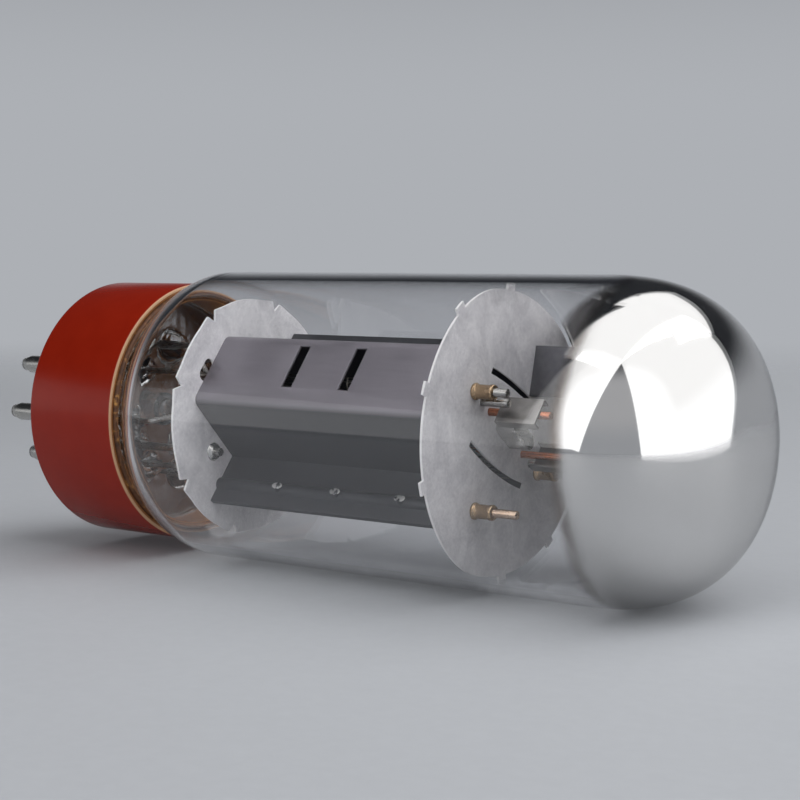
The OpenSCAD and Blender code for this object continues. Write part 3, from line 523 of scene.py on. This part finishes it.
film = bmesh.new()
spin(film, [(film_low, bulb_r - film_out)] + dome_outline(film_out) + dome_outline(film_in)[::-1]
     + [(film_low, bulb_r - film_in)], steps=ROUND_STEPS)
for place, way in ((Vector((film_front, 0, 0)), AXIS), (slant_place, slant_way)):
    bmesh.ops.bisect_plane(film, geom=film.verts[:] + film.edges[:] + film.faces[:], plane_co=place,
                           plane_no=way)
cut_away = []
for face in film.faces:
    middle = face.calc_center_median()
    under_slant = (middle - slant_place).dot(slant_way) < 0
    if middle.x < foot_ring or (middle.x < film_front and under_slant):
        cut_away.append(face)
bmesh.ops.delete(film, geom=cut_away, context="FACES")
bmesh.ops.bridge_loops(film, edges=[edge for edge in film.edges if edge.is_boundary])
add_piece("getter_mirror", film, ["getter_flash"], evaporated_mirror(), sharp=60)

# Base: a moulded cup with a hollow keyed spigot under it, which holds the pins.
# It is red-brown phenolic under a glossy lacquer, with the edges left round by the mould.
base_low, base_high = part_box("base_shell")
base_r, base_wall, base_floor = base_high.z, 0.75 * MM, 2.4 * MM
base_bore_r = base_r - base_wall
base_edge, rim_edge = 0.5 * MM, 0.2 * MM
spigot_r, spigot_bore_r, spigot_chamfer = 3.95 * MM, 2.8 * MM, 1 * MM
spigot_floor = base_low.x + spigot_chamfer
base = bmesh.new()
spin(base, [(base_low.x, 0), (base_low.x, spigot_r - spigot_chamfer), (spigot_floor, spigot_r), (0, spigot_r)]
     + arc((base_edge, base_r - base_edge), base_edge, 180, 90, 8)
     + arc((base_high.x - rim_edge, base_r - rim_edge), rim_edge, 90, 0, 4)
     + arc((base_high.x - rim_edge, base_bore_r + rim_edge), rim_edge, 0, -90, 4)
     + [(base_floor, base_bore_r), (base_floor, spigot_bore_r), (spigot_floor, spigot_bore_r),
        (spigot_floor, 0)], steps=ROUND_STEPS)
key_w, key_h, key_gap, key_edge = 1.2 * MM, 0.9 * MM, 0.6 * MM, 0.15 * MM
key_foot, key_head = spigot_floor + key_gap, base_floor / 2
key_sides = on_pin_circle("pin_1") + on_pin_circle("pin_8")
key_turn = Matrix.Rotation(math.atan2(-key_sides.y, key_sides.z), 3, "X")
key_middle = ((key_head + key_foot) / 2, 0, spigot_r + (key_h - spigot_chamfer) / 2)
key = bmesh.ops.create_cube(base, size=1)["verts"]
bmesh.ops.scale(base, vec=(key_head - key_foot, key_w, spigot_chamfer + key_h), verts=key)
bmesh.ops.translate(base, vec=key_middle, verts=key)
bmesh.ops.rotate(base, cent=CENTRE, matrix=key_turn, verts=key)
key_edges = list({edge for vert in key for edge in vert.link_edges})
bmesh.ops.bevel(base, geom=key_edges, offset=key_edge, affect="EDGES", segments=2, profile=0.5, material=-1)
# Painted highlight: a pale band along the top edge of the rim, over its last 0.15 mm.
rim_highlight_start, rim_highlight_full = base_high.x - 0.15 * MM, base_high.x - 0.05 * MM
# Painted shade: inside the cup and on the rim's inner half, the red phenolic is drawn in a dim brown.
painted_shade_within, painted_shade_above = base_bore_r + base_wall / 2, base_floor - 0.02 * MM


def lacquered_phenolic():
    """Lacquered phenolic: deep red-brown, hardly mottled, with an orange-peel gloss.

    It has a painted highlight, a pale band along the rim's top edge, and painted shade, a dim brown inside
    the cup and on the rim's inner half.
    """
    material, tree, where = new_finish("lacquered_phenolic")
    mottle = add(tree, "ShaderNodeTexNoise", {"Vector": where, "Scale": per(3), "Detail": 6})
    shade = add(tree, "ShaderNodeValToRGB", {"Fac": mottle.outputs["Fac"]})
    deep, bright = shade.color_ramp.elements
    deep.position, deep.color = 0.3, colour("#821a07")
    bright.position, bright.color = 0.7, colour("#871d09")
    peel = add(tree, "ShaderNodeTexNoise", {"Vector": where, "Scale": per(1.2), "Detail": 1})
    relief = add(tree, "ShaderNodeBump", {
        "Height": peel.outputs["Fac"], "Strength": 0.3, "Distance": 0.02 * MM})
    across = add(tree, "ShaderNodeSeparateXYZ", {"Vector": where})
    # Painted highlight: the rim's top edge is mixed to a pale tan.
    rim = add(tree, "ShaderNodeMapRange", {
        "Value": across.outputs["X"], "From Min": rim_highlight_start, "From Max": rim_highlight_full})
    highlit_rim = add(tree, "ShaderNodeMix", {
        "Factor": rim.outputs["Result"], "A": shade.outputs["Color"], "B": colour("#c09a78")},
        data_type="RGBA")
    # Painted shade: inside the cup and on the rim's inner half the colour is a dim brown.
    turned = add(tree, "ShaderNodeVectorMath", {0: where, 1: (0, 1, 1)}, operation="MULTIPLY")
    from_axis = add(tree, "ShaderNodeVectorMath", {0: turned.outputs["Vector"]}, operation="LENGTH")
    within = add(tree, "ShaderNodeMath", {
        0: from_axis.outputs["Value"], 1: painted_shade_within}, operation="LESS_THAN")
    above_floor = add(tree, "ShaderNodeMath", {
        0: across.outputs["X"], 1: painted_shade_above}, operation="GREATER_THAN")
    inside = add(tree, "ShaderNodeMath", {
        0: within.outputs["Value"], 1: above_floor.outputs["Value"]}, operation="MULTIPLY")
    tone = add(tree, "ShaderNodeMix", {
        "Factor": inside.outputs["Value"], "A": highlit_rim.outputs["Result"], "B": colour("#8a5a35")},
        data_type="RGBA")
    shader = add(tree, "ShaderNodeBsdfPrincipled", {
        "Base Color": tone.outputs["Result"], "Roughness": 0.24, "Specular IOR Level": 0.25,
        "Coat Weight": 0.05, "Coat Roughness": 0.1, "Normal": relief.outputs["Normal"],
        "Coat Normal": relief.outputs["Normal"]})
    add(tree, "ShaderNodeOutputMaterial", {"Surface": shader.outputs["BSDF"]})
    return material


add_piece("base_cup", base, ["base_shell"], lacquered_phenolic())

# Cement: a ring of brown cement between the base and the neck, with a bead that stands above the rim.
# It is filled resin, spread wet and baked hard, so it is grainy and uneven.
cement_low, cement_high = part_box("base_cement")
cement_round, cement_grip = 0.2 * MM, 0.01 * MM
cement_in = neck_r - cement_grip
cement = bmesh.new()
spin(cement, [(cement_low.x, cement_in), (cement_low.x, base_bore_r), (base_high.x - rim_edge, base_bore_r)]
     + arc((cement_high.x - cement_round, neck_r + cement_round), cement_round, 60, 0, 4)
     + [(cement_high.x, cement_in)], steps=ROUND_STEPS)
# Out to here from the axis, the cement that lies on the glass is painted pale, as the light that falls there.
painted_light_within = neck_r + 0.02 * MM


def baked_cement():
    """Baked basing cement: dark brown with a few amber grains, with painted light in a pale tan where it lies
    on the glass.
    """
    material, tree, where = new_finish("baked_cement")
    grain = add(tree, "ShaderNodeTexNoise", {"Vector": where, "Scale": per(0.8), "Detail": 6})
    shade = add(tree, "ShaderNodeValToRGB", {"Fac": grain.outputs["Fac"]})
    dark, amber = shade.color_ramp.elements
    dark.position, dark.color = 0.3, colour("#3a2212")
    amber.position, amber.color = 0.72, colour("#bd8b48")
    shade.color_ramp.elements.new(0.58).color = colour("#5f3a1e")
    across = add(tree, "ShaderNodeVectorMath", {0: where, 1: (0, 1, 1)}, operation="MULTIPLY")
    from_axis = add(tree, "ShaderNodeVectorMath", {0: across.outputs["Vector"]}, operation="LENGTH")
    # Painted light: the cement against the glass is mixed to a pale tan.
    painted_light_on_glass = add(tree, "ShaderNodeMath", {
        0: from_axis.outputs["Value"], 1: painted_light_within}, operation="LESS_THAN")
    tone = add(tree, "ShaderNodeMix", {
        "Factor": painted_light_on_glass.outputs["Value"], "A": shade.outputs["Color"], "B": colour("#c98c55")},
        data_type="RGBA")
    relief = add(tree, "ShaderNodeBump", {
        "Height": grain.outputs["Fac"], "Strength": 0.8, "Distance": 0.15 * MM})
    shader = add(tree, "ShaderNodeBsdfPrincipled", {
        "Base Color": tone.outputs["Result"], "Roughness": 0.6, "Normal": relief.outputs["Normal"]})
    add(tree, "ShaderNodeOutputMaterial", {"Surface": shader.outputs["BSDF"]})
    return material


add_piece("basing_cement", cement, ["base_cement"], baked_cement())

# Pins: eight hollow tubes, headed over inside the base, each closed with solder at its tip.
# They are brass, tinned bright, and drawn in a little at the tip.
pin_low, pin_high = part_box("pin_1")
pin_r, pin_bore_r, pin_head_r, pin_head_t = 1.18 * MM, 0.75 * MM, 1.8 * MM, 0.4 * MM
pin_taper, pin_narrow, pin_lip, pin_grip = 1.2 * MM, 0.3 * MM, 0.15 * MM, 0.25 * MM
pin_outline = ([(pin_low.x, pin_bore_r)]
               + arc((pin_low.x + pin_lip, pin_r - pin_narrow - pin_lip), pin_lip, 180, 100, 3)
               + [(pin_low.x + pin_taper, pin_r), (0, pin_r), (0, pin_r + pin_grip),
                  (base_floor, pin_r + pin_grip), (base_floor, pin_head_r),
                  (pin_high.x - pin_head_t / 2, pin_head_r), (pin_high.x, pin_head_r - pin_head_t / 2),
                  (pin_high.x, pin_bore_r)])
tinned_brass = metal("tinned_brass", "#9b9a96", "#cfcdc8", grain_mm=0.5, rough=0.24, along=4)
for i in PINS:
    pin = bmesh.new()
    spin(pin, pin_outline, on_pin_circle(f"pin_{i}"), steps=40)
    add_piece(f"contact_pin_{i}", pin, [f"pin_{i}"], tinned_brass)
solder = metal("solder", "#a4a5a6", "#d6d7d8", grain_mm=0.6, rough=0.2, bump_mm=0.05)
smooth_copy("pin_solder", solder, sharp=80)

# Studio: a pale floor under the lying tube, with soft panels past its dome, over it and on the camera's left.
# The camera stands where the photograph was taken from, at the dome's end and a little above the axis.
# The room is pale at the horizon and dark overhead, save for a lit wall behind the camera.
FLOOR_R, FADE_START, FADE_END = 4, 0.12, 0.6
floor = bmesh.new()
bmesh.ops.create_circle(floor, cap_ends=True, radius=FLOOR_R, segments=96)
bmesh.ops.translate(floor, verts=floor.verts, vec=(0, 0, cad_low.z))
floor_mesh = bpy.data.meshes.new("floor")
floor.to_mesh(floor_mesh)
floor.free()
floor_object = bpy.data.objects.new("floor", floor_mesh)
bpy.context.scene.collection.objects.link(floor_object)
# Pale paper, faintly fibrous, which fades into the room so that no edge of it shows.
paper, tree, where = new_finish("pale_paper")
fibre = add(tree, "ShaderNodeTexNoise", {"Vector": where, "Scale": per(1.5), "Detail": 3})
tone = add(tree, "ShaderNodeMix", {
    "Factor": fibre.outputs["Fac"], "A": colour("#b2b5ba"), "B": colour("#b8bbc0")}, data_type="RGBA")
distance = add(tree, "ShaderNodeVectorMath", {0: where}, operation="LENGTH")
fade = add(tree, "ShaderNodeMapRange", {
    "Value": distance.outputs["Value"], "From Min": FADE_START, "From Max": FADE_END, "To Min": 1,
    "To Max": 0}, interpolation_type="SMOOTHSTEP")
sheet = add(tree, "ShaderNodeBsdfPrincipled", {
    "Base Color": tone.outputs["Result"], "Roughness": 0.6, "Alpha": fade.outputs["Result"]})
add(tree, "ShaderNodeOutputMaterial", {"Surface": sheet.outputs["BSDF"]})
floor_mesh.materials.append(paper)

# The dark overhead draws the edges of glass and metal. The room shows brighter than it lights the tube.
CAMERA_WAY = (0.49, -0.87, 0)
ROOM_LIGHT, ROOM_SEEN = 0.4, 1
room = bpy.data.worlds.new("room")
bpy.context.scene.world = room
room.use_nodes = True
room.node_tree.nodes.clear()
tree = room.node_tree
ray = add(tree, "ShaderNodeTexCoord", {}).outputs["Generated"]
height = add(tree, "ShaderNodeSeparateXYZ", {"Vector": ray})
rise = add(tree, "ShaderNodeMapRange", {
    "Value": height.outputs["Z"], "From Min": 0.08, "From Max": 0.42}, interpolation_type="SMOOTHSTEP")
beside = add(tree, "ShaderNodeVectorMath", {0: ray, 1: CAMERA_WAY}, operation="DOT_PRODUCT")
lit = add(tree, "ShaderNodeMapRange", {
    "Value": beside.outputs["Value"], "From Min": 0.45, "From Max": 0.7}, interpolation_type="SMOOTHSTEP")
overhead = add(tree, "ShaderNodeMix", {
    "Factor": lit.outputs["Result"], "A": colour("#2b2d31"), "B": colour("#bdbec1")}, data_type="RGBA")
sky = add(tree, "ShaderNodeMix", {
    "Factor": rise.outputs["Result"], "A": colour("#adb0b5"), "B": overhead.outputs["Result"]},
    data_type="RGBA")
path = add(tree, "ShaderNodeLightPath", {})
mirrored = add(tree, "ShaderNodeMath", {
    0: path.outputs["Is Camera Ray"], 1: path.outputs["Is Glossy Ray"]}, operation="MAXIMUM")
seen = add(tree, "ShaderNodeMath", {
    0: mirrored.outputs["Value"], 1: path.outputs["Is Transmission Ray"]}, operation="MAXIMUM")
strength = add(tree, "ShaderNodeMapRange", {
    "Value": seen.outputs["Value"], "To Min": ROOM_LIGHT, "To Max": ROOM_SEEN})
light = add(tree, "ShaderNodeBackground", {
    "Color": sky.outputs["Result"], "Strength": strength.outputs["Result"]})
add(tree, "ShaderNodeOutputWorld", {"Surface": light.outputs["Background"]})

aim = Vector((47.26, 0, 3.14)) * MM
camera_place = Vector((168.72, -165.24, 20.46)) * MM
dome_place = Vector((0.075, 0, 0))
SIDEWAYS, DOWNWARDS, BACKWARDS = (0, 1, 0), (0, 0, -1), (-1, 0, -0.316)


def facing(place, target):
    """A placement at a point, turned so that its -Z axis looks at a target."""
    return Matrix.Translation(place) @ (target - place).to_track_quat("-Z", "Y").to_matrix().to_4x4()


def soft_panel(name, place, target, width, height, radiance, lean=0):
    """A rectangular light whose face has an even brightness, turned about its own axis by lean degrees."""
    lamp = bpy.data.lights.new(name, "AREA")
    lamp.shape = "RECTANGLE"
    lamp.size = width
    lamp.size_y = height
    lamp.energy = radiance * math.pi * width * height
    lamp_object = bpy.data.objects.new(name, lamp)
    bpy.context.scene.collection.objects.link(lamp_object)
    lamp_object.matrix_world = facing(place, target) @ Matrix.Rotation(math.radians(lean), 4, "Z")


# Each panel: its place from the dome, the way it faces, width, height, radiance and lean.
for name, offset, way, *sizes in (
        ("end_panel", (0.378, 0.108, 0.395), BACKWARDS, 1.02, 0.97, 1.4),
        ("left_panel", (0.002, -0.4, 0.457), SIDEWAYS, 0.25, 0.9, 1.4, -16),
        ("side_panel", (-0.117, -0.4, 0.475), SIDEWAYS, 0.235, 0.95, 1.25),
        ("top_panel", (0.022, -0.079, 0.856), DOWNWARDS, 0.582, 0.936, 1.4, -16),
        ("back_panel", (0.175, 0.73, 0.856), DOWNWARDS, 0.85, 0.8, 1.4)):
    place = dome_place + Vector(offset)
    soft_panel(name, place, place + Vector(way), *sizes)
low_place = Vector((-0.38, -0.41, 0.075))
soft_panel("low_panel", low_place, aim, 0.45, 0.18, 0.45)

camera = bpy.data.cameras.new("camera")
camera.sensor_width = 36
camera.lens = 76.5
camera.clip_start = 0.01
camera.clip_end = 20
camera_object = bpy.data.objects.new("camera", camera)
bpy.context.scene.collection.objects.link(camera_object)
camera_object.matrix_world = facing(camera_place, aim)
bpy.context.scene.camera = camera_object
bpy.context.scene.view_settings.view_transform = "Standard"
